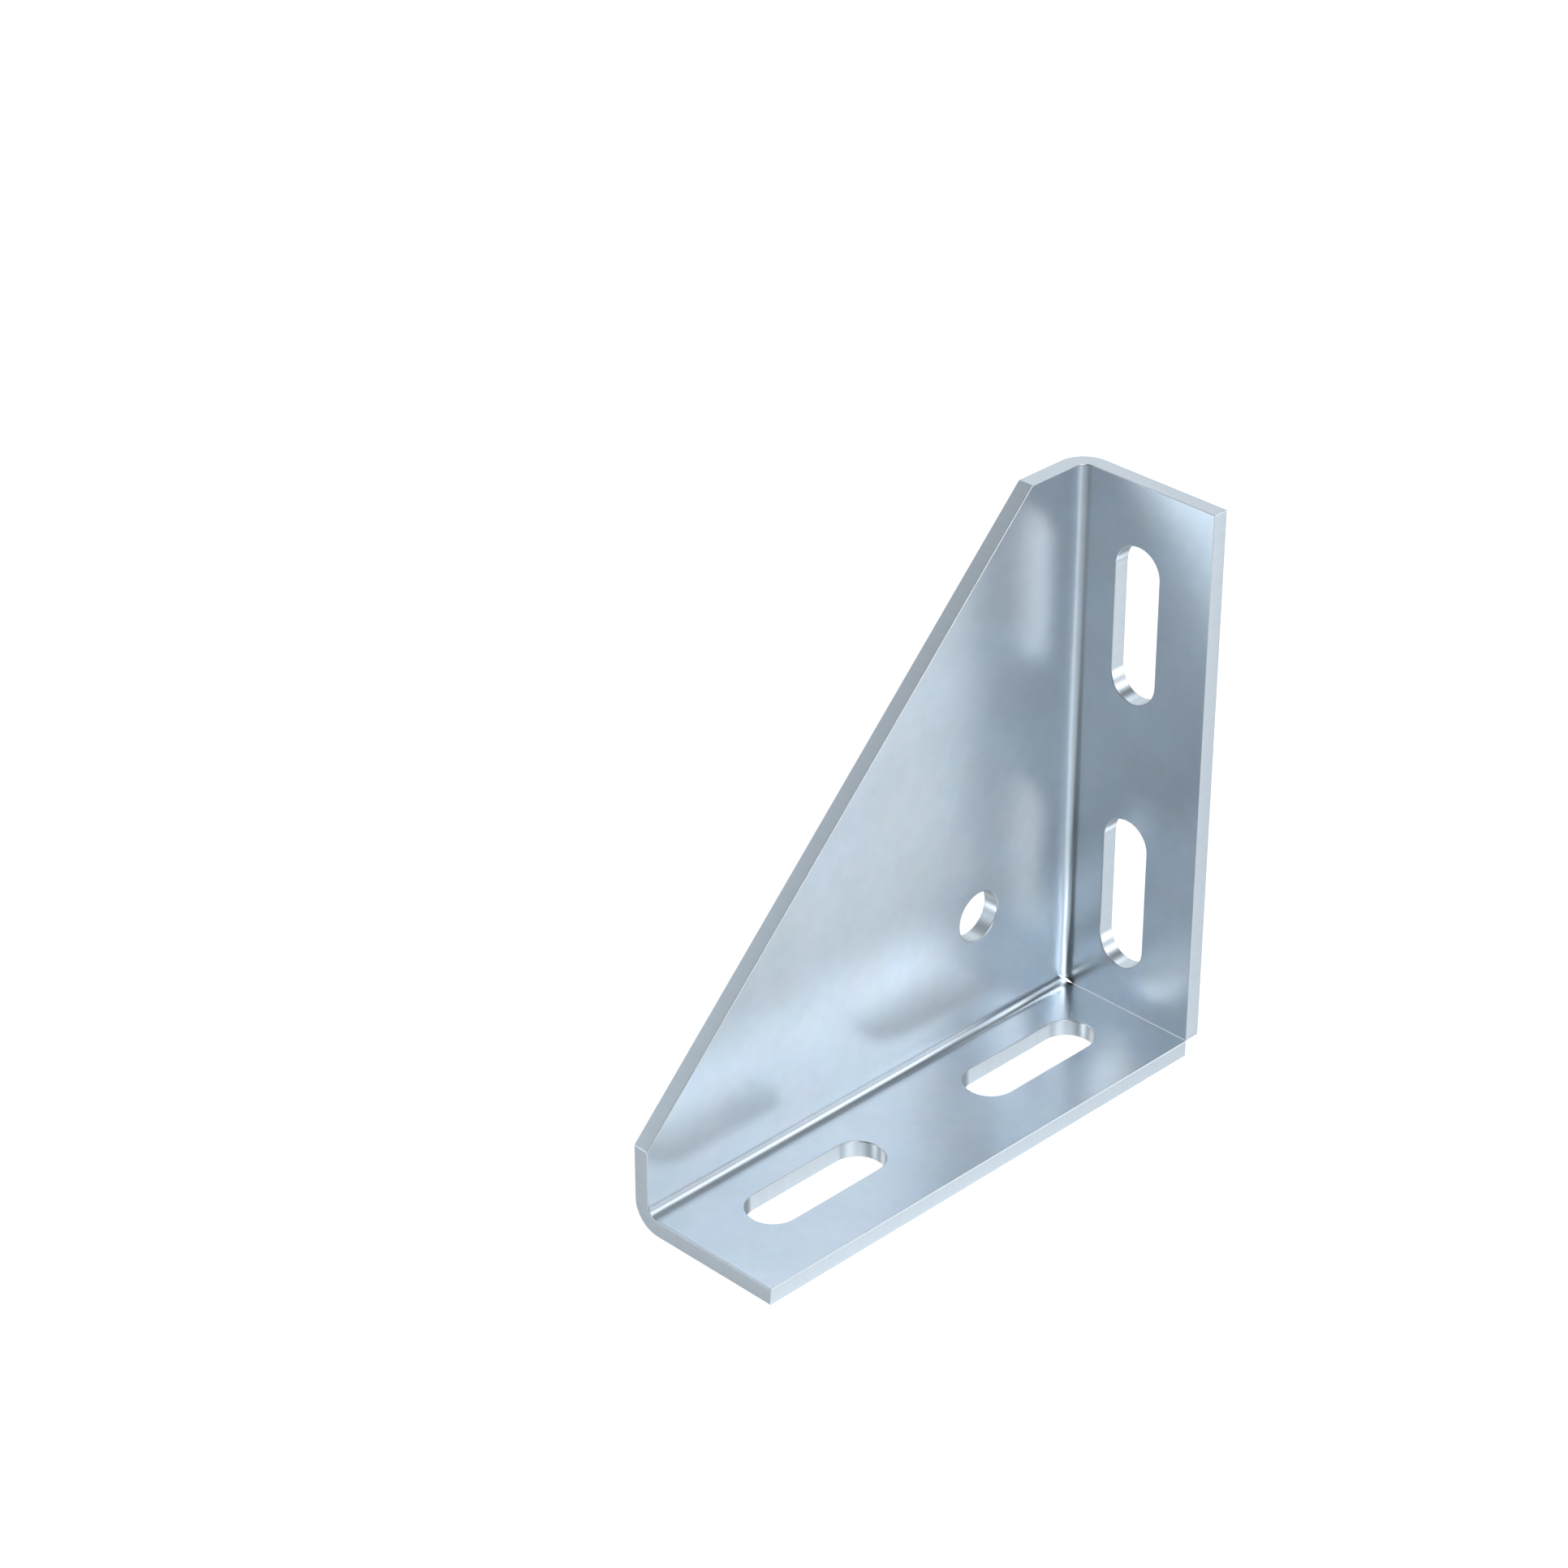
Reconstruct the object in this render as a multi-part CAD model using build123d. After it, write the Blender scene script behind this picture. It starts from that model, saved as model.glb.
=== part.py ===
from build123d import *
import os

os.makedirs("parts", exist_ok=True)

# Strut angle fitting: a gusseted corner bracket, folded from one piece of sheet steel.
#
# A flat web stands upright, with its front corner cut away on the slant. One flange is folded
# out along its lower edge, to lie on a strut, and a second along its back edge, to stand
# against another. Each flange has two slots for the strut's bolts, and the web has a hole.
#
# The fitting is its own mirror image about the diagonal plane between its legs. So only the
# lying half is drawn, and the standing half is its reflection.
#
# While it is drawn, X runs along the lying leg from the heel, Y from the web's outer face to
# the free edges of the flanges, and Z up the standing leg. The three outer faces are zero.

# Driving sizes, in millimetres
leg_length = 100.0
flange_width = 30.0
sheet_thickness = 3.0
bend_radius = 2.0  # inside of the fold
tip_land = 15.0  # width of web that is left standing at the tip of each leg
heel_slit = 0.1  # what keeps the two flanges apart where they meet at the heel
fold_inset = 0.1  # how far inside the web's corner the heel end of each fold begins

slot_width = 9.0
slot_length = 28.0  # from end to end
slot_setback = 25.0  # from each end of a leg to the middle of its nearest slot

web_hole_diameter = 9.0
web_hole_setback = 25.0  # from the outer face of each flange

# Sizes that follow from them
outer_radius = sheet_thickness + bend_radius
flange_start = sheet_thickness + heel_slit / 2  # a flange ends short of the other one's sheet
diagonal_peak = (leg_length + tip_land) / 2  # where the slanting edge crosses the mirror plane
mirror_plane = Plane(origin=(0, 0, 0), z_dir=(1, 0, -1))


def folded_strip():
    """Web, fold and lying flange as one long strip, bent once."""
    middle = sheet_thickness / 2
    with BuildPart() as strip:
        with BuildSketch(Plane.YZ):
            with BuildLine():
                FilletPolyline(
                    (flange_width, middle),
                    (middle, middle),
                    (middle, leg_length),
                    radius=bend_radius + middle,
                )
            trace(line_width=sheet_thickness)
        extrude(amount=leg_length)
    return strip.part


def half_outline():
    """What is seen of the lying half from the side: heel, tip, slanting edge and mitre."""
    with BuildPart() as outline:
        with BuildSketch(Plane.XZ):
            with BuildLine():
                Polyline(
                    (flange_start, 0),
                    (leg_length, 0),
                    (leg_length, tip_land),
                    (diagonal_peak, diagonal_peak),
                    (flange_start, flange_start),
                    close=True,
                )
            make_face()
        extrude(amount=-flange_width)
    return outline.part


def fold_end():
    """What is missing from the fold at the heel.

    The blank's edge slants there, and is cut square through the flat sheet. The fold winds that
    cut round its axis, so the two folds meet along the web's corner and stand open further on.
    """
    start = outer_radius - fold_inset
    across_fold = Plane(origin=(start, outer_radius, outer_radius), x_dir=(0, -1, 0), z_dir=(-1, 0, 0))
    reach = 2 * outer_radius
    with BuildSketch(across_fold) as web_side:
        Rectangle(reach, reach, align=(Align.MIN, Align.MIN))
    return Solid.extrude_linear_with_rotation(
        web_side.sketch.face(),
        center=across_fold.origin,
        normal=across_fold.z_dir * bend_radius,
        angle=-90,
    )


def flange_slots():
    """The two slots of the lying flange, along its middle line."""
    middle_line = flange_width / 2
    with BuildPart() as slots:
        with BuildSketch(Plane.XY):
            with Locations((slot_setback, middle_line), (leg_length - slot_setback, middle_line)):
                SlotOverall(slot_length, slot_width)
        extrude(amount=sheet_thickness)
    return slots.part


def web_hole():
    """The round hole, where it is as far from one leg as from the other."""
    with BuildPart() as hole:
        with BuildSketch(Plane.XZ):
            with Locations((web_hole_setback, web_hole_setback)):
                Circle(web_hole_diameter / 2)
        extrude(amount=-sheet_thickness)
    return hole.part


lying_half = (folded_strip() & half_outline()) - fold_end() - flange_slots()
standing_half = mirror(lying_half, about=mirror_plane)
fitting = lying_half + standing_half - web_hole()

# The finished part has its origin in the middle of the underside, which is also the middle of
# the lying leg's slot pattern.
fitting = Pos(-leg_length / 2, -flange_width / 2, 0) * fitting
export_step(fitting, "parts/angle_fitting.step")
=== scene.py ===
# %% [markdown]
# A strut angle fitting, folded from one sheet of zinc-plated steel
#
# This lesson dresses a finished CAD bracket for a product picture. The real thing is made in
# four strokes: a flat blank is cut from 3 mm sheet, slots are punched through it, two of its
# edges are folded up, and the whole piece is plated with bright zinc. The lesson takes the same
# four strokes in the same order, because a shape that is made as the real one is made gets its
# small details right by itself. The folds, for one, end at the heel just as real folds do.

import bmesh
import bpy
import math
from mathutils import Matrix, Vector


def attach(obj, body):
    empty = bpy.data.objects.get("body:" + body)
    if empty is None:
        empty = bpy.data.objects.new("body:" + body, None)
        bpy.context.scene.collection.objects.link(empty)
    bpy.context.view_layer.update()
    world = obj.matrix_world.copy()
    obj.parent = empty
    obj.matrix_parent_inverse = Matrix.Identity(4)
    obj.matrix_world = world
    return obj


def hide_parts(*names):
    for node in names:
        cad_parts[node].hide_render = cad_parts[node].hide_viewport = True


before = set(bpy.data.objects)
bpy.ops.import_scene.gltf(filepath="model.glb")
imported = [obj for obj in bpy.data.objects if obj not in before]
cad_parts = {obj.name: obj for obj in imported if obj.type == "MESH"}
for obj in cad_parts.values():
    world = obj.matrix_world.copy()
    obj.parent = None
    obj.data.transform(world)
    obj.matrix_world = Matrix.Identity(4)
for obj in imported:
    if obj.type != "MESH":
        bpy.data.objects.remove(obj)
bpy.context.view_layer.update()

# %% [markdown]
# Sizes
#
# Blender works in metres here, and a bracket is drawn in millimetres, so each size is written
# as a number times MM. X runs along the lying leg, Y from the web's outer face towards the
# free edges of the flanges, and Z up the standing leg. While the piece is made, the outside
# corner of its heel is at zero. The CAD part has its origin in the middle of the underside
# instead, and the last step of the fold moves the piece there.

# %% The bracket's sizes
MM = 0.001
leg_length = 100 * MM
flange_width = 30 * MM
sheet_thickness = 3 * MM
inside_radius = 2 * MM
tip_land = 15 * MM
heel_clearance = 0.02 * MM
slot_length = 28 * MM
slot_width = 9 * MM
slot_spacing = 50 * MM
hole_diameter = 9 * MM
hole_setback = 25 * MM

# The web is flat from here on, and the folds are on the heel's side of it.
fold_line = sheet_thickness + inside_radius
# A fold uses up as much of the blank as the middle of its thickness is long.
middle_radius = inside_radius + sheet_thickness / 2
fold_allowance = middle_radius * math.pi / 2
blank_reach = fold_allowance + flange_width - fold_line
# Each flange starts this far beyond the other one's inner face, so a fine seam stays open.
flange_start = sheet_thickness + heel_clearance
print(f"each fold uses {fold_allowance / MM:.2f} mm of the blank")
print(f"each tab reaches {blank_reach / MM:.2f} mm past its fold line")

# %% [markdown]
# The flat blank
#
# Seen flat, the sheet is a triangle with its tips cut off and a long tab along each of two
# edges. It could be a subdivided plane, but then the fold would bend facets that are not where
# the bend is. Here the sheet gets only the faces that it needs: one for the web, one for each
# tab, and between them a ladder of narrow strips. The strips will roll into the fold, and each
# is straight along the fold, so the rolled surface is exact in that direction.
#
# At the heel the two tabs would run into each other, so the blank has a narrow notch there.
# Its edges curve a little, so that after folding the two ends lie close together without
# touching. That leaves the fine pointed opening that such a fitting has in its inside corner.

# %% Shape the notch
strips = 18
# The notch's edge is nearly a mitre of the fold's inner face, and is held back where that
# would run ahead of a straight slant with this lead.
mitre_share = 0.99
slant_lead = 0.05

def notch_edge(turn):
    """Where a fold begins at the heel, for a part of the fold from 0, the web, to 1, the flange."""
    mitred = mitre_share * math.sin(turn * math.pi / 2)
    slanted = turn + slant_lead
    return max(fold_line - inside_radius * min(mitred, slanted), flange_start)

along_leg = [round(notch_edge(i / 6) / MM, 2) for i in range(7)]
print("from web to flange, the notch's edge is at", along_leg, "mm along the leg")

# %% Cut the blank
def flat_blank():
    """The sheet's outer face in the XZ plane, with its ladder of strips on each fold."""
    sheet = bmesh.new()

    def corner(along, across, standing):
        return sheet.verts.new((across, 0, along) if standing else (along, 0, across))

    heel = sheet.verts.new((fold_line, 0, fold_line))
    web = [heel]
    for standing in (False, True):
        near = [heel]
        far = [corner(leg_length, fold_line, standing)]
        for i in range(1, strips + 1):
            across = fold_line - fold_allowance * i / strips
            near.append(corner(notch_edge(i / strips), across, standing))
            far.append(corner(leg_length, across, standing))
        near.append(corner(flange_start, fold_line - blank_reach, standing))
        far.append(corner(leg_length, fold_line - blank_reach, standing))
        for i in range(strips + 1):
            face = [near[i], near[i + 1], far[i + 1], far[i]]
            sheet.faces.new(face if standing else face[::-1])
        tip = corner(leg_length, tip_land, standing)
        web += [tip, far[0]] if standing else [far[0], tip]
    sheet.faces.new(web[::-1])
    mesh = bpy.data.meshes.new("bracket_sheet")
    sheet.to_mesh(mesh)
    sheet.free()
    return mesh

bracket = bpy.data.objects.new("bracket_sheet", flat_blank())
bpy.context.scene.collection.objects.link(bracket)
print("the blank has", len(bracket.data.polygons), "faces")

# %% [markdown]
# The press tool: a Geometry Nodes tree that thickens, punches and folds
#
# Every point of the flat sheet goes where the fold takes it by one rule, so the bracket is made
# by a tree, and its sizes are the tree's inputs. With a smaller fold angle the flanges stand
# open, which is a good way to look at what the tree does.
#
# A few small helpers keep the lesson short. The first adds a node, sets it up, and links or
# fills its inputs. Two more do the same for sums of numbers and of vectors, and the last one
# starts a tree with its named inputs and outputs.

# %% Helpers for building a tree
def add(tree, kind, inputs=(), **settings):
    """A new node. Each input is filled with a number or a vector, or linked to a socket."""
    node = tree.nodes.new(kind)
    for name, value in settings.items():
        setattr(node, name, value)
    for name, value in dict(inputs).items():
        for one in value if isinstance(value, list) else [value]:
            if isinstance(one, bpy.types.NodeSocket):
                tree.links.new(one, node.inputs[name])
            else:
                node.inputs[name].default_value = one
    return node

def math_node(tree, operation, *values):
    """A Math node, as its output."""
    return add(tree, "ShaderNodeMath", enumerate(values), operation=operation).outputs[0]

def vector_node(tree, operation, *values, scale=None):
    """A Vector Math node, as its vector output, or its number for a dot product."""
    inputs = list(enumerate(values)) + ([("Scale", scale)] if scale is not None else [])
    node = add(tree, "ShaderNodeVectorMath", inputs, operation=operation)
    return node.outputs["Value" if operation == "DOT_PRODUCT" else "Vector"]

def new_tree(name, inputs, outputs):
    """A node tree with named inputs and outputs, each given by its type of socket."""
    tree = bpy.data.node_groups.new(name, "GeometryNodeTree")
    for in_out, sockets in (("INPUT", inputs), ("OUTPUT", outputs)):
        for socket, kind in sockets.items():
            tree.interface.new_socket(socket, in_out=in_out, socket_type="NodeSocket" + kind)
    given = tree.nodes.new("NodeGroupInput").outputs
    return tree, given, tree.nodes.new("NodeGroupOutput").inputs

# %% [markdown]
# The rule of a fold
#
# A point that lies past the fold line first loses the length that the fold uses up, which
# slides it back to the line. Then it swings round the fold's axis. How far it swings goes from
# nothing at the line to the full angle at the end of the allowance, so the strips between
# spread evenly over the bend, and the flange beyond swings as one flat plate. A point on the
# web is not past the line, loses nothing and stays. Because the rule reads the point's place
# in the thickness as well, the outer face gets the large radius and the inner face the small
# one, and the cut ends stay square to the sheet.

# %% Roll a point round a fold
fold_inputs = {
    "Position": "Vector",
    "Across": "Vector",
    "Fold Line": "Float",
    "Allowance": "Float",
    "Fold Angle": "Float",
}
fold_outputs = {"Position": "Vector", "Past Line": "Float"}
roll, given, result = new_tree("roll_round_fold", fold_inputs, fold_outputs)

out_along = vector_node(roll, "DOT_PRODUCT", given["Position"], given["Across"])
past = math_node(roll, "ADD", out_along, given["Fold Line"])
used = math_node(roll, "MINIMUM", math_node(roll, "MAXIMUM", past, 0.0), given["Allowance"])
part_used = math_node(roll, "DIVIDE", used, given["Allowance"])
turn = math_node(roll, "MULTIPLY", part_used, given["Fold Angle"])

slide = vector_node(roll, "SCALE", given["Across"], scale=used)
slid = vector_node(roll, "SUBTRACT", given["Position"], slide)
above = add(roll, "ShaderNodeCombineXYZ", {"Y": given["Fold Line"]}).outputs[0]
to_line = vector_node(roll, "SCALE", given["Across"], scale=given["Fold Line"])
axis_point = vector_node(roll, "SUBTRACT", above, to_line)
axis = vector_node(roll, "CROSS_PRODUCT", given["Across"], (0, 1, 0))
swing = {"Vector": slid, "Center": axis_point, "Axis": axis, "Angle": turn}
roll.links.new(add(roll, "ShaderNodeVectorRotate", swing).outputs[0], result["Position"])
roll.links.new(past, result["Past Line"])
print("the fold's rule takes", len(roll.nodes) - 2, "nodes")

# %% [markdown]
# Thicken the sheet
#
# The press tool is one tree, built here in five steps. Its inputs come first: the bracket's
# sizes under plain names, so that anyone can open the tree and turn a number.
#
# Extrude Mesh lifts a face to its thickness but leaves it open below, so the face itself, turned
# over, is joined on as the underside, and the two are merged where they touch. A closed plate is
# what the Boolean of the next step needs. A Solidify modifier would thicken the sheet too, but
# then the step could not be part of the tree.

# %% Thicken the sheet
sizes = {
    "Sheet Thickness": sheet_thickness,
    "Fold Line": fold_line,
    "Allowance": fold_allowance,
    "Fold Angle": math.pi / 2,
    "Leg Length": leg_length,
    "Flange Width": flange_width,
    "Slot Length": slot_length,
    "Slot Width": slot_width,
    "Slot Spacing": slot_spacing,
    "Hole Diameter": hole_diameter,
    "Hole Setback": hole_setback,
}
press_inputs = {"Geometry": "Geometry", **{name: "Float" for name in sizes}, "Material": "Material"}
press, given, result = new_tree("press_tool", press_inputs, {"Geometry": "Geometry"})
merge_distance = 0.001 * MM

def thick(face, thickness, direction):
    """A face as a closed plate."""
    lift = {"Mesh": face, "Offset": direction, "Offset Scale": thickness, "Individual": False}
    lifted = add(press, "GeometryNodeExtrudeMesh", lift).outputs["Mesh"]
    underside = add(press, "GeometryNodeFlipFaces", {"Mesh": face}).outputs[0]
    both = add(press, "GeometryNodeJoinGeometry", {"Geometry": [lifted, underside]}).outputs[0]
    merging = {"Geometry": both, "Distance": merge_distance}
    return add(press, "GeometryNodeMergeByDistance", merging).outputs[0]

plate = thick(given["Geometry"], given["Sheet Thickness"], (0, 1, 0))
print("the press tool has", len(sizes), "sizes for inputs")

# %% [markdown]
# Make the slot punch
#
# The slots repeat, so one punch is made and used four times. Its outline is a rectangle with
# its corners rounded by half its width, which gives the two round ends. A slot could be drawn
# into the sheet by hand, but a punch can be moved with a number.

# %% Make the slot punch
end_steps = 12
half_width = math_node(press, "DIVIDE", given["Slot Width"], 2.0)
# A punch starts one thickness beyond the inner face and is three long, so it goes right through.
punch_start = math_node(press, "MULTIPLY", given["Sheet Thickness"], 2.0)
punch_height = math_node(press, "MULTIPLY", given["Sheet Thickness"], 3.0)

box = {"Width": given["Slot Length"], "Height": given["Slot Width"]}
outline = add(press, "GeometryNodeCurvePrimitiveQuadrilateral", box).outputs[0]
rounding = {"Curve": outline, "Count": end_steps, "Radius": half_width, "Limit Radius": True}
outline = add(press, "GeometryNodeFilletCurve", rounding, mode="POLY").outputs[0]
slot_face = add(press, "GeometryNodeFillCurve", {"Curve": outline}, mode="NGONS").outputs[0]
slot_punch = thick(slot_face, punch_height, (0, 0, 1))
print("each round end of a slot has", end_steps, "steps in a quarter")

# %% [markdown]
# Punch the slots and the hole
#
# A line of two points stands on each tab, and an instance of the punch on each point. The row
# lies in the middle of the finished flange, which is found by going back from there through the
# fold. The web's hole has a round punch of its own. All of them are taken away together with
# one Boolean, in its exact mode, which keeps the sheet closed.

# %% Punch the slots and the hole
round_steps = 48
half_leg = math_node(press, "DIVIDE", given["Leg Length"], 2.0)
half_spacing = math_node(press, "DIVIDE", given["Slot Spacing"], 2.0)
half_flange = math_node(press, "DIVIDE", given["Flange Width"], 2.0)
first = math_node(press, "SUBTRACT", half_leg, half_spacing)
folded_back = math_node(press, "ADD", given["Allowance"], half_flange)
twice_line = math_node(press, "MULTIPLY", given["Fold Line"], 2.0)
row = math_node(press, "SUBTRACT", twice_line, folded_back)

punches = []
for standing in (False, True):
    along, across = ("Z", "X") if standing else ("X", "Z")
    start = {along: first, across: row, "Y": punch_start}
    start = add(press, "ShaderNodeCombineXYZ", start).outputs[0]
    step = add(press, "ShaderNodeCombineXYZ", {along: given["Slot Spacing"]}).outputs[0]
    line = {"Count": 2, "Start Location": start, "Offset": step}
    points = add(press, "GeometryNodeMeshLine", line).outputs[0]
    rotation = (math.pi / 2, math.pi / 2 if standing else 0, 0)
    placed = {"Points": points, "Instance": slot_punch, "Rotation": rotation}
    punches.append(add(press, "GeometryNodeInstanceOnPoints", placed).outputs[0])

hole_radius = math_node(press, "DIVIDE", given["Hole Diameter"], 2.0)
round_size = {"Vertices": round_steps, "Radius": hole_radius, "Depth": punch_height}
round_punch = add(press, "GeometryNodeMeshCylinder", round_size).outputs["Mesh"]
hole_place = {"X": given["Hole Setback"], "Z": given["Hole Setback"]}
hole_place = add(press, "ShaderNodeCombineXYZ", hole_place).outputs[0]
turned = {"Geometry": round_punch, "Translation": hole_place, "Rotation": (math.pi / 2, 0, 0)}
punches.append(add(press, "GeometryNodeTransform", turned).outputs[0])

tools = add(press, "GeometryNodeJoinGeometry", {"Geometry": punches}).outputs[0]
tools = add(press, "GeometryNodeRealizeInstances", {"Geometry": tools}).outputs[0]
punching = {"Mesh 1": plate, "Mesh 2": tools}
boolean = add(press, "GeometryNodeMeshBoolean", punching, operation="DIFFERENCE", solver="EXACT")
punched = boolean.outputs["Mesh"]
print("the press has", len(punches) - 1, "rows of slot punches and a round one")

# %% [markdown]
# Write on the sheet before it is folded
#
# Two notes are stored on the flat, punched sheet, and the plating will read them later. One
# says where each point lies in the blank. The other says which faces are walls that a blade or
# a punch has cut: those that don't face along the sheet's thickness. Both are easy to know
# now, and hard to work out once the sheet is folded.

# %% Write on the sheet
# A face whose normal has less than this along the sheet's thickness is a wall.
wall_limit = 0.5
place = add(press, "GeometryNodeInputPosition").outputs[0]
normal = add(press, "GeometryNodeInputNormal").outputs["Normal"]
through = math_node(press, "ABSOLUTE", vector_node(press, "DOT_PRODUCT", normal, (0, 1, 0)))
is_wall = math_node(press, "LESS_THAN", through, wall_limit)
notes = (
    ("place_in_sheet", place, "FLOAT_VECTOR", "POINT"),
    ("cut_wall", is_wall, "FLOAT", "FACE"),
)
for name, value, kind, where in notes:
    note = {"Geometry": punched, "Name": name, "Value": value}
    writing = add(press, "GeometryNodeStoreNamedAttribute", note, data_type=kind, domain=where)
    punched = writing.outputs[0]
print("written on the sheet:", [note[0] for note in notes])

# %% [markdown]
# Fold the sheet
#
# The fold's rule runs twice, once across each fold line. A point belongs to the fold that it
# lies further past, and on the web neither moves it. Then the whole piece goes to the CAD
# part's origin, gets smooth shading for its folds, and takes on its material.

# %% Fold the sheet
folds = []
for across in ((0, 0, -1), (-1, 0, 0)):
    folding = {name: given[name] for name in ("Fold Line", "Allowance", "Fold Angle")}
    folding.update({"Position": place, "Across": across})
    folds.append(add(press, "GeometryNodeGroup", folding, node_tree=roll).outputs)
lying_fold, standing_fold = folds
which = {"A": lying_fold["Past Line"], "B": standing_fold["Past Line"]}
lies = add(press, "FunctionNodeCompare", which).outputs[0]
choice = {"Switch": lies, "False": standing_fold["Position"], "True": lying_fold["Position"]}
goes_to = add(press, "GeometryNodeSwitch", choice, input_type="VECTOR").outputs[0]

moving = {"Geometry": punched, "Position": goes_to}
folded = add(press, "GeometryNodeSetPosition", moving).outputs[0]
shift = {"Geometry": folded, "Translation": (-leg_length / 2, -flange_width / 2, 0)}
in_place = add(press, "GeometryNodeTransform", shift).outputs[0]
smooth = add(press, "GeometryNodeSetShadeSmooth", {"Geometry": in_place}).outputs[0]
real = add(press, "GeometryNodeRealizeInstances", {"Geometry": smooth}).outputs[0]
finish = {"Geometry": real, "Material": given["Material"]}
finish = add(press, "GeometryNodeSetMaterial", finish).outputs[0]
press.links.new(finish, result["Geometry"])
print("the press tool takes", len(press.nodes) - 2, "nodes")

# %% [markdown]
# Run the press
#
# A modifier's inputs are set by the sockets' identifiers, before anything asks for the result.
# Then the result is read as a plain mesh and the modifier has done its work. The plain mesh is
# what the later steps, and whoever takes the bracket into another program, can rely on.

# %% Run the press
plating = bpy.data.materials.new("bright_zinc_plating")
bracket.data.materials.append(plating)

def as_plain_mesh(thing):
    """What the object's modifiers make of it, as its own mesh, with no modifier left."""
    seen = thing.evaluated_get(bpy.context.evaluated_depsgraph_get())
    thing.data = bpy.data.meshes.new_from_object(seen)
    thing.modifiers.clear()
    triangles = sum(len(face.vertices) - 2 for face in thing.data.polygons)
    print(f"{thing.name} has {len(thing.data.vertices)} corners and {triangles} triangles")

pressing = bracket.modifiers.new("Press tool", "NODES")
pressing.node_group = press
sockets = [item for item in press.interface.items_tree if item.in_out == "INPUT"]
socket_of = {socket.name: socket.identifier for socket in sockets}
for name, value in sizes.items():
    pressing[socket_of[name]] = value
pressing[socket_of["Material"]] = plating
as_plain_mesh(bracket)

# %% [markdown]
# Dull the edges
#
# Shearing leaves crisp edges, and plating takes off only the last of the sharpness. A rounding
# of a fifth of a millimetre is hardly a shape, but without it no edge would catch the light,
# and the picture would look like a drawing. Bevel is the right modifier for it. It could find
# its edges by their angle, but in the narrow notch at the heel its roundings would run over
# each other. So each sharp edge is given a weight here. The seam's edges get a small one, and
# the notch's edges get none and are marked sharp.

# %% Find the edges to dull
sharp_angle = math.radians(40)
seam_weight = 0.1
heel_corner = Vector((-leg_length / 2, -flange_width / 2, 0))
# The notch is nearer to the heel's corner than this along every axis, with a hair to spare.
notch_size = fold_line + 0.01 * MM

def kind_of_edge(edge):
    """What an edge is, by how far its middle is from the heel."""
    middle = (edge.verts[0].co + edge.verts[1].co) / 2 - heel_corner
    if max(middle) < notch_size:
        return "in the notch"
    return "in the seam" if max(middle.x, middle.z) < fold_line else "free"

weight_of = {"in the notch": 0, "in the seam": seam_weight, "free": 1}
count = dict.fromkeys(weight_of, 0)
work = bmesh.new()
work.from_mesh(bracket.data)
weight = work.edges.layers.float.new("bevel_weight_edge")
for edge in work.edges:
    if edge.calc_face_angle() > sharp_angle:
        kind = kind_of_edge(edge)
        edge.smooth = kind != "in the notch"
        edge[weight] = weight_of[kind]
        count[kind] += 1
work.to_mesh(bracket.data)
work.free()
print("sharp edges:", count)

# %% [markdown]
# Round them, and write down where
#
# A real edge is a small round between two faces that stay flat. The Bevel makes the round from
# three narrow faces. Weighted Normal then lets each large face keep its own direction up to its
# very edge, because smooth shading alone would bend the reflections all over it.
#
# The Bevel puts its new faces in a material slot of their own. That slot is only there to find
# them: they are written down as an attribute, and everything goes back to one material.

# %% Round the edges
edge_rounding = 0.18 * MM
rounding_slot = 1
bracket.data.materials.append(plating)
dulling = bracket.modifiers.new("Dulled edges", "BEVEL")
dulling.width = edge_rounding
dulling.segments = 3
dulling.limit_method = "WEIGHT"
dulling.use_clamp_overlap = False
dulling.material = rounding_slot
flat = bracket.modifiers.new("Flat faces stay flat", "WEIGHTED_NORMAL")
flat.keep_sharp = True
as_plain_mesh(bracket)

faces = bracket.data.polygons
rounded = [float(face.material_index == rounding_slot) for face in faces]
note = bracket.data.attributes.new("rounded_edge", "FLOAT", "FACE")
note.data.foreach_set("value", rounded)
faces.foreach_set("material_index", [0] * len(faces))
bracket.data.materials.pop(index=rounding_slot)
print(f"{int(sum(rounded))} of its {len(faces)} faces are rounded edge")

# %% [markdown]
# Bright zinc
#
# Zinc plating is a metal a few thousandths of a millimetre thick, passivated so that it shows a
# cool blue-grey. It is laid over rolled steel, and follows it: over the flats it is smooth with
# a faint cloudiness, and the reflections in it are soft. So the shader is a metal of middling
# roughness, and everything else in it is gentle.
#
# Three patterns carry it: clouds of a centimetre, a mottling of a few millimetres, and on the
# cut walls the fine scratches that a punch leaves along its stroke. All are noise textures, and
# for the scratches the noise is stretched through the sheet's thickness. A picture of zinc would
# be quicker, but it would repeat, and it would blur up close.
#
# The textures read where each point lay in the flat blank, which the press stored before it
# folded. So they follow the sheet round the fold, and the scratches always cross the thickness.

# %% Find the patterns
plating.use_nodes = True
look = plating.node_tree
metal = look.nodes["Principled BSDF"]
metal.inputs["Metallic"].default_value = 1.0
# Noise keeps mostly to the middle of its range, between these two.
usual_low, usual_high = 0.3, 0.7

# For each pattern: its features in a metre, its finer layers, and how much each of them adds.
cloud_grain = (75, 3.0, 0.5)
mottle_grain = (420, 2.0, 0.5)
scratch_grain = (1100, 3.0, 0.6)
# Along the punch's stroke a scratch is so many times as long as it is wide.
scratch_stretch = 20

def noise(place, scale, detail, roughness):
    """A soft random pattern, with so many features in a metre."""
    inputs = {"Vector": place, "Scale": scale, "Detail": detail, "Roughness": roughness}
    return add(look, "ShaderNodeTexNoise", inputs).outputs

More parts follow.
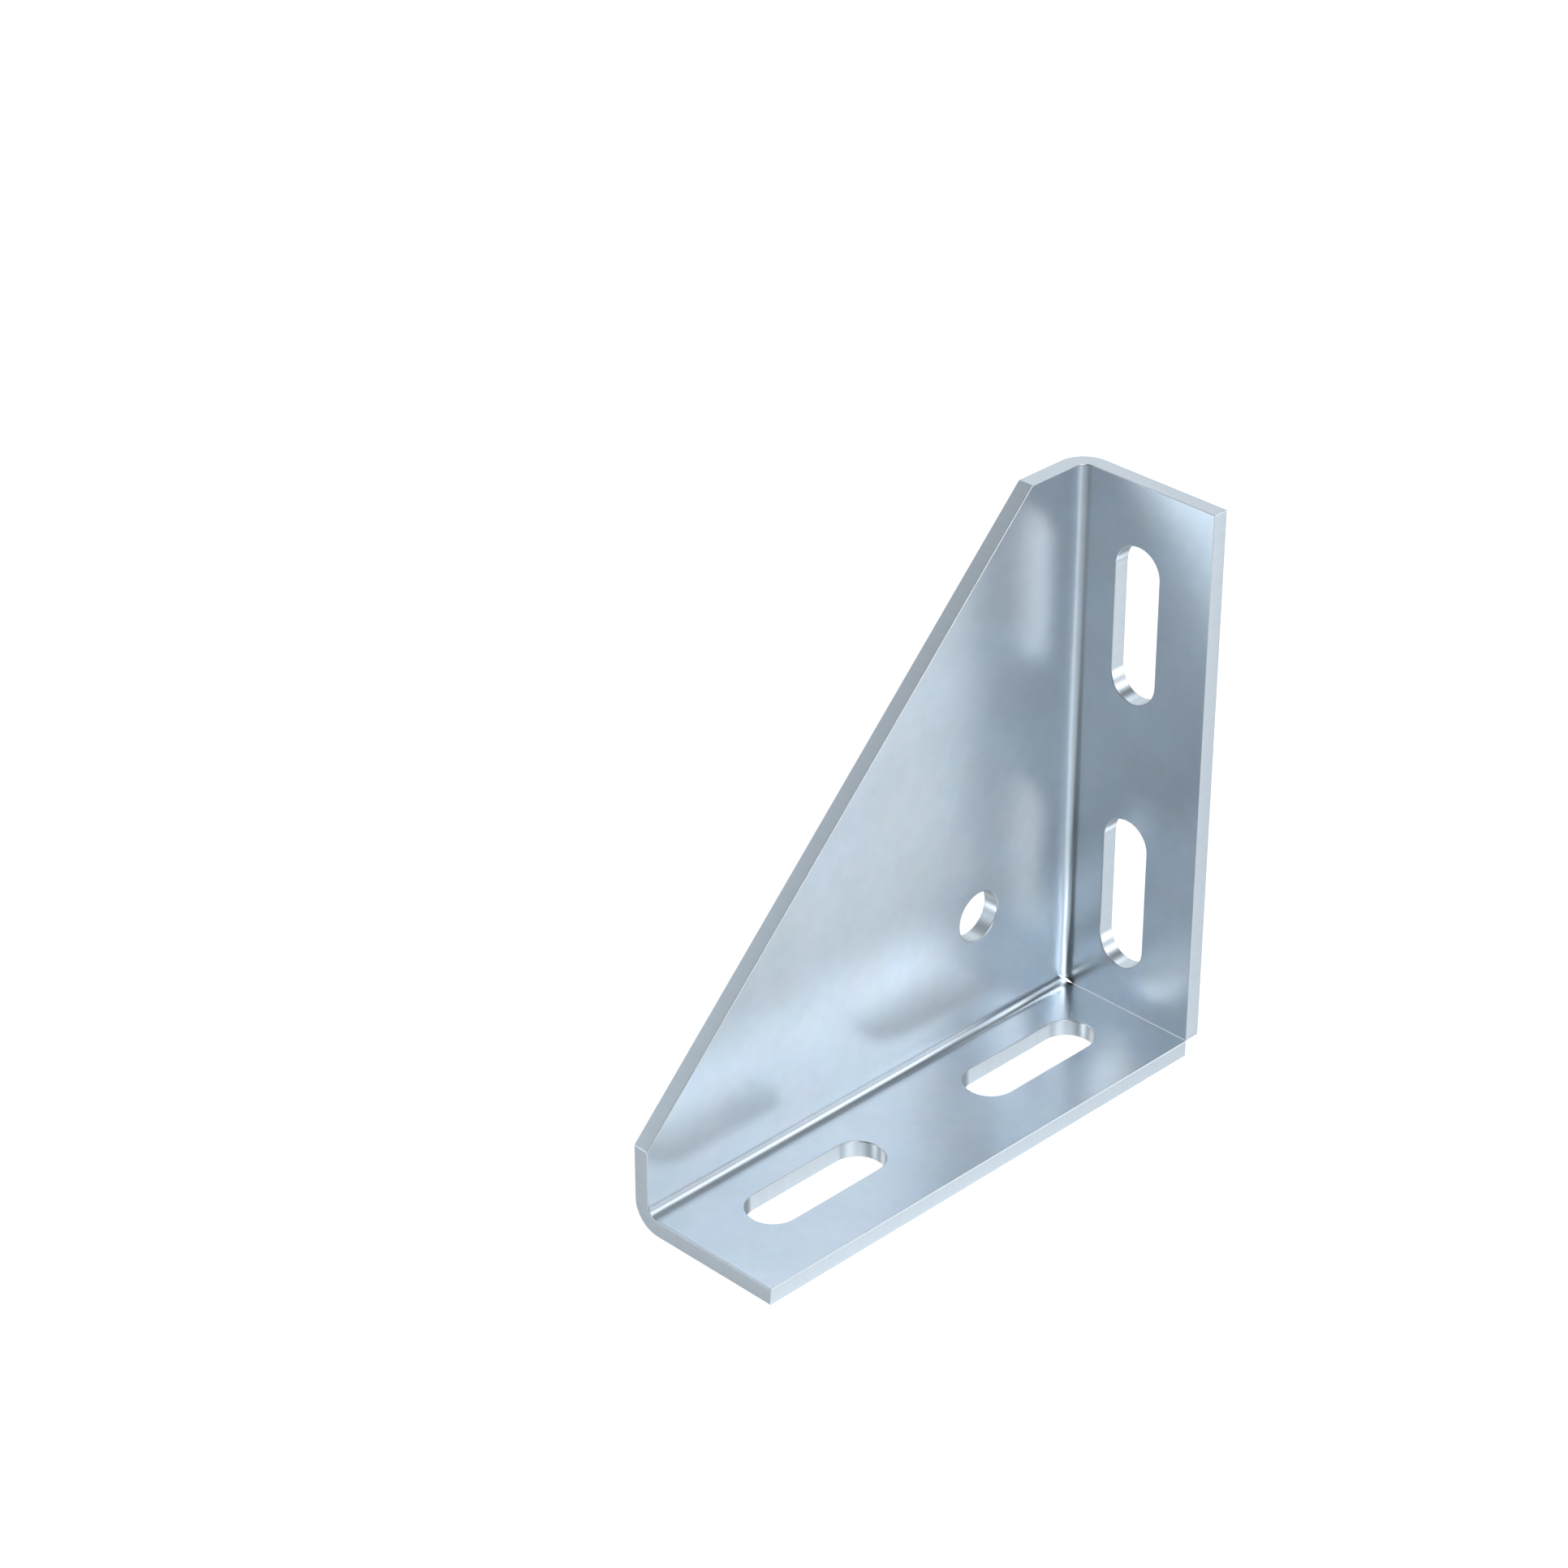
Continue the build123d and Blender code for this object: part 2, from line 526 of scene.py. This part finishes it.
def between(value, low, high, start=usual_low, end=usual_high):
    """A value's range from start to end, spread from low to high."""
    inputs = {"Value": value, "From Min": start, "From Max": end, "To Min": low, "To Max": high}
    return add(look, "ShaderNodeMapRange", inputs).outputs[0]

def note_of(name, output):
    """What was written on the bracket under this name."""
    return add(look, "ShaderNodeAttribute", attribute_name=name).outputs[output]

in_sheet = note_of("place_in_sheet", "Vector")
on_wall = note_of("cut_wall", "Fac")
on_edge = note_of("rounded_edge", "Fac")
clouds = noise(in_sheet, *cloud_grain)[0]
mottle = noise(in_sheet, *mottle_grain)[0]
along_stroke = vector_node(look, "MULTIPLY", in_sheet, (1, 1 / scratch_stretch, 1))
scratches = noise(along_stroke, *scratch_grain)[0]
grains = (cloud_grain, mottle_grain, scratch_grain)
print("patterns of about", [round(1000 / grain[0], 1) for grain in grains], "mm")

# %% [markdown]
# The colour of zinc
#
# On the flats the clouds and the mottling move the colour between two near shades. The
# passivated film is also a little thicker here and thinner there, and its tint wanders with it.
# That is one more noise, used as a colour, which on average changes nothing. Cut walls are
# greyer. The rounded edges are a plain lighter grey, a painted highlight, so that each draws the
# fine bright line that outlines such a part. All this could be painted by hand, but patterns follow
# every size.

# %% Colour the zinc
flat_shades = (0.665, 0.712, 0.760), (0.740, 0.793, 0.845)
wall_shades = (0.702, 0.736, 0.768), (0.740, 0.774, 0.806)
# The rounded edges' lighter grey is a painted highlight: the bright line along each edge.
painted_edge_highlight = (0.80, 0.82, 0.84, 1)
clouds_share, mottle_share = 0.65, 0.35
film_grain = (130, 4.0, 0.7)
# How far the film can shift red, green and blue, and the least that it leaves of each.
film_swing = (0.16, 0.05, 0.12)
film_least = tuple(1 - swing / 2 for swing in film_swing)

def shades(value, dark, light):
    """A colour between two near shades."""
    ramp = add(look, "ShaderNodeValToRGB", {"Fac": value})
    ramp.color_ramp.elements[0].color = (*dark, 1)
    ramp.color_ramp.elements[1].color = (*light, 1)
    return ramp.outputs["Color"]

def blend(share, first, second, kind):
    """Two numbers or two colours, mixed as far as the share says."""
    socket_1, socket_2, mixed = {"FLOAT": (2, 3, 0), "RGBA": (6, 7, 2)}[kind]
    inputs = {0: share, socket_1: first, socket_2: second}
    return add(look, "ShaderNodeMix", inputs, data_type=kind).outputs[mixed]

cloudy = math_node(look, "MULTIPLY", clouds, clouds_share)
cloudy = math_node(look, "MULTIPLY_ADD", mottle, mottle_share, cloudy)
on_flats = shades(between(cloudy, 0.0, 1.0), *flat_shades)
film = noise(in_sheet, *film_grain)["Color"]
film = vector_node(look, "MULTIPLY_ADD", film, film_swing, film_least)
on_flats = vector_node(look, "MULTIPLY", on_flats, film)
on_walls = shades(between(scratches, 0.0, 1.0), *wall_shades)
colour = blend(on_wall, on_flats, on_walls, "RGBA")
# The rounded edges take the painted highlight.
colour = blend(on_edge, colour, painted_edge_highlight, "RGBA")
print("the film leaves at least", [round(least, 3) for least in film_least])

# %% [markdown]
# Painted shade in the crevice at the heel
#
# Where the two folds meet, the real fitting has a tiny crevice that light hardly enters. It
# could be carved deeper into the mesh, but its shade is painted into the colour instead: a soft
# dark spot, fixed to the bracket and faded out a good millimetre from its middle, darkens it
# without touching the shape.

# %% Paint shade into the crevice
crevice_height = 4.3 * MM
crevice_core, crevice_rim = 0.3 * MM, 1.3 * MM
# How bright the painted shade leaves the crevice's middle.
crevice_painted_darkest = 0.15

at = add(look, "ShaderNodeTexCoord").outputs["Object"]
crevice = tuple(heel_corner + Vector((flange_start, crevice_height, flange_start)))
measuring = {0: at, 1: crevice}
depth = add(look, "ShaderNodeVectorMath", measuring, operation="DISTANCE").outputs["Value"]
# The painted shade: darkest at the core, gone at the rim.
painted_crevice_shade = between(depth, crevice_painted_darkest, 1.0, start=crevice_core, end=crevice_rim)
colour = vector_node(look, "SCALE", colour, scale=painted_crevice_shade)
look.links.new(colour, metal.inputs["Base Color"])
print("the crevice is at", [round(value / MM, 2) for value in crevice], "mm")

# %% [markdown]
# How the zinc mirrors
#
# The roughness follows the same patterns as the colour, within a narrow range. The relief is
# very shallow: a few hundredths of a millimetre over a centimetre is enough to make the
# reflections waver, as they do in rolled sheet. So it is a bump in the shader, where real
# dents in the mesh would take a great many faces. Only the cut walls are scored by scratches.

# %% Set the roughness and the bump
flat_roughness = (0.275, 0.29)
mottle_roughness = (0.0, 0.008)
wall_roughness = (0.28, 0.31)
edge_roughness = 0.36
cloud_depth = 0.045 * MM
mottle_depth = 0.002 * MM
scratch_depth = 0.002 * MM

roughness = between(clouds, *flat_roughness)
roughness = math_node(look, "ADD", roughness, between(mottle, *mottle_roughness))
roughness = blend(on_wall, roughness, between(scratches, *wall_roughness), "FLOAT")
roughness = blend(on_edge, roughness, edge_roughness, "FLOAT")
look.links.new(roughness, metal.inputs["Roughness"])

scored = math_node(look, "MULTIPLY", scratches, on_wall)
relief = {}
for height, deep in ((clouds, cloud_depth), (mottle, mottle_depth), (scored, scratch_depth)):
    bump = {"Height": height, "Strength": 1.0, "Distance": deep, **relief}
    relief = {"Normal": add(look, "ShaderNodeBump", bump).outputs[0]}
look.links.new(relief["Normal"], metal.inputs["Normal"])
print("the plating takes", len(look.nodes), "nodes")

# %% [markdown]
# Camera
#
# A long lens from far away keeps the legs nearly parallel, as in a catalogue picture. The
# camera looks down on the bracket from in front of its open side, turned half way between the
# two legs. It aims a little beside the bracket, which therefore stands to the right of the
# picture's middle and somewhat below it.

# %% Place the camera
camera_azimuth, camera_elevation = 45, 30
looks_at = Vector((11.41, -20.72, 61.41)) * MM
distance = 678.2 * MM
focal_length, sensor_width = 100, 36

def direction(azimuth, elevation):
    """The way to something that stands so many degrees round from +X and up from the floor."""
    round_, up = math.radians(azimuth), math.radians(elevation)
    level = math.cos(up)
    return Vector((math.cos(round_) * level, math.sin(round_) * level, math.sin(up)))

camera = bpy.data.objects.new("camera", bpy.data.cameras.new("camera"))
bpy.context.scene.collection.objects.link(camera)
bpy.context.scene.camera = camera
camera.data.lens = focal_length
camera.data.sensor_width = sensor_width
to_camera = direction(camera_azimuth, camera_elevation)
camera.location = looks_at + to_camera * distance
camera.rotation_euler = (-to_camera).to_track_quat("-Z", "Y").to_euler()
print("camera at", [round(c, 4) for c in camera.location])

# %% [markdown]
# Floor
#
# The floor is a wide pale disc that glows a little by itself, so it stays near white. The steel
# doesn't reflect it, it keeps no light away, and no shadow shows on it, because in the
# photograph the bracket is lit from below too, as on a glass table.

# %% Lay the floor
floor_radius = 4.0
floor_corners = 96
pale_grey = (0.6, 0.6, 0.6, 1)
white = (1, 1, 1, 1)
floor_glow = 0.8

floor_mesh = bpy.data.meshes.new("studio_floor")
disc = bmesh.new()
bmesh.ops.create_circle(disc, cap_ends=True, radius=floor_radius, segments=floor_corners)
disc.to_mesh(floor_mesh)
disc.free()
floor = bpy.data.objects.new("studio_floor", floor_mesh)
bpy.context.scene.collection.objects.link(floor)
paper = bpy.data.materials.new("pale_floor")
paper.use_nodes = True
surface = paper.node_tree.nodes["Principled BSDF"]
surface.inputs["Base Color"].default_value = pale_grey
surface.inputs["Roughness"].default_value = 1.0
surface.inputs["Specular IOR Level"].default_value = 0.0
surface.inputs["Emission Color"].default_value = white
surface.inputs["Emission Strength"].default_value = floor_glow
floor_mesh.materials.append(paper)
floor.visible_glossy = False
floor.visible_shadow = False
print("the floor is", 2 * floor_radius, "m wide")

# %% [markdown]
# Where the lamps stand
#
# Polished metal shows the studio, so each lamp's place is counted from what the steel shows the
# camera. The camera's sight runs to a face and bounces off, and in a square corner it can bounce
# off two faces or three. With flat faces that is simple: each bounce turns the sight round along the
# face's own axis. So a short sum says where the camera looks by way of the web, or of the web
# and then the lying flange, and a lamp that stands some degrees from there puts a soft gradient
# on that part of the steel.
#
# A black card does the opposite. A photographer holds one where the steel would only mirror more
# white, and the face that looks at it turns dark. That is what gives bright metal its depth.
#
# The numbers weren't found by hand. Another program fitted soft lamps and cards to the shading in
# the photograph, and these are its places, strengths and widths, rounded. A few were then moved a
# little.

# %% Where the lamps stand
turned_by = {
    "web": Vector((1, -1, 1)),
    "standing": Vector((-1, 1, 1)),
    "lying": Vector((1, 1, -1)),
}

def shown_by(faces):
    """The azimuth and elevation that the camera sees by way of these faces of the bracket."""
    sight = -to_camera
    for face in faces:
        sight = sight * turned_by[face]
    return math.degrees(math.atan2(sight.y, sight.x)), math.degrees(math.asin(sight.z))

web, standing, lying = ("web",), ("standing",), ("lying",)
heel = web + standing + lying

# For each lamp: the faces that show it, how many degrees round and up it stands from there, its
# brightness, how many degrees out it has faded to half, and how cool its light is from 0, white.
lamps = {
    "key light, upper end": (heel, 25, 15, 6.0, 10, 0),
    "key light, lower end": (heel, 10, 0, 5.0, 7, 1),
    "wide lamp to the left": (web + lying, 5, 0, 2.6, 10, 0.5),
    "wide lamp low to the left": (web, -5, 20, 2.4, 12, 0.5),
    "lamp under the standing flange": (web, 10, -15, 3.0, 6, 1),
    "wide lamp to the right": (standing + lying, -5, -15, 1.0, 18, 1),
    "low lamp beyond the lying leg's tip": (standing, 20, 10, 4.5, 8, 1),
    "lamp below behind": (standing, -35, -10, 1.0, 10, 0),
    "wall of light behind": (lying, 10, -10, 0.6, 28, 0.5),
    "lamp high behind": (lying, -15, 25, 2.5, 8, 1),
    "lamp under the lying leg": (web + standing, -15, -20, 1.2, 15, 1),
    "lamp below in front": (web + standing, 35, -15, 1.2, 18, 1),
}
# For each card: the same places, how much of the room it hides, and degrees to half of that.
cards = {
    "card in front, high": (heel, -25, 10, 0.95, 38),
    "card in front, low": (heel, -20, -15, 0.95, 38),
    "card high to the left": (web + lying, 25, 5, 0.95, 15),
}
for way in (web, standing, lying, web + lying, standing + lying, web + standing, heel):
    print("by way of", " and ".join(way), "it sees", [round(angle) for angle in shown_by(way)])

# %% [markdown]
# Studio light
#
# The studio is drawn as the steel should see it: a plain room, the soft lamps and the black
# cards. A world shader can do all this without a lamp object. For each lamp and card it takes
# the angle to its middle and lets its strength fade out from there, as a diffuser's does. The
# cards hide the room, and the lamps add to it. The camera itself sees plain white.

# %% Light the studio
room_brightness = 0.35
room_coolness = 1
# The coolest light has this much less red than white light, and this much more blue.
red_loss, blue_gain = 0.10, 0.08

world = bpy.data.worlds.new("studio")
bpy.context.scene.world = world
world.use_nodes = True
studio = world.node_tree
studio.nodes.clear()
look_way = add(studio, "ShaderNodeTexCoord").outputs["Generated"]

def spot(faces, turn, lift, strength, half_width):
    """How strongly each way out of the steel meets a soft round spot."""
    azimuth, elevation = shown_by(faces)
    middle = direction(azimuth + turn, elevation + lift)
    # With this fall the spot has faded to half at so many degrees from its middle.
    fall = math.log(2) / (1 - math.cos(math.radians(half_width)))
    facing = vector_node(studio, "DOT_PRODUCT", look_way, middle)
    power = math_node(studio, "MULTIPLY_ADD", facing, fall, math.log(strength) - fall)
    return math_node(studio, "EXPONENT", power)

def tint(coolness):
    """The colour of white light that is a little cool."""
    return (1 - red_loss * coolness, 1.0, 1 + blue_gain * coolness)

room = room_brightness
for card in cards.values():
    room = math_node(studio, "MULTIPLY", room, math_node(studio, "SUBTRACT", 1.0, spot(*card)))
light = vector_node(studio, "SCALE", tint(room_coolness), scale=room)
for *lamp, coolness in lamps.values():
    glow = vector_node(studio, "SCALE", tint(coolness), scale=spot(*lamp))
    light = vector_node(studio, "ADD", light, glow)
seen_by_steel = add(studio, "ShaderNodeBackground", {"Color": light, "Strength": 1.0}).outputs[0]
plain_white = {"Color": white, "Strength": 1.0}
seen_by_camera = add(studio, "ShaderNodeBackground", plain_white).outputs[0]
to_eye = add(studio, "ShaderNodeLightPath").outputs["Is Camera Ray"]
mixing = {"Fac": to_eye, 1: seen_by_steel, 2: seen_by_camera}
chosen = add(studio, "ShaderNodeMixShader", mixing).outputs[0]
add(studio, "ShaderNodeOutputWorld", {"Surface": chosen})
bpy.context.scene.view_settings.view_transform = "Standard"
print("the studio has", len(lamps), "soft lamps and", len(cards), "black cards")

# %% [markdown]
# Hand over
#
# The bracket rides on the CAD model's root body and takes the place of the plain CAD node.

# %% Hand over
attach(bracket, "root")
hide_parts("angle_fitting")
bpy.context.view_layer.update()
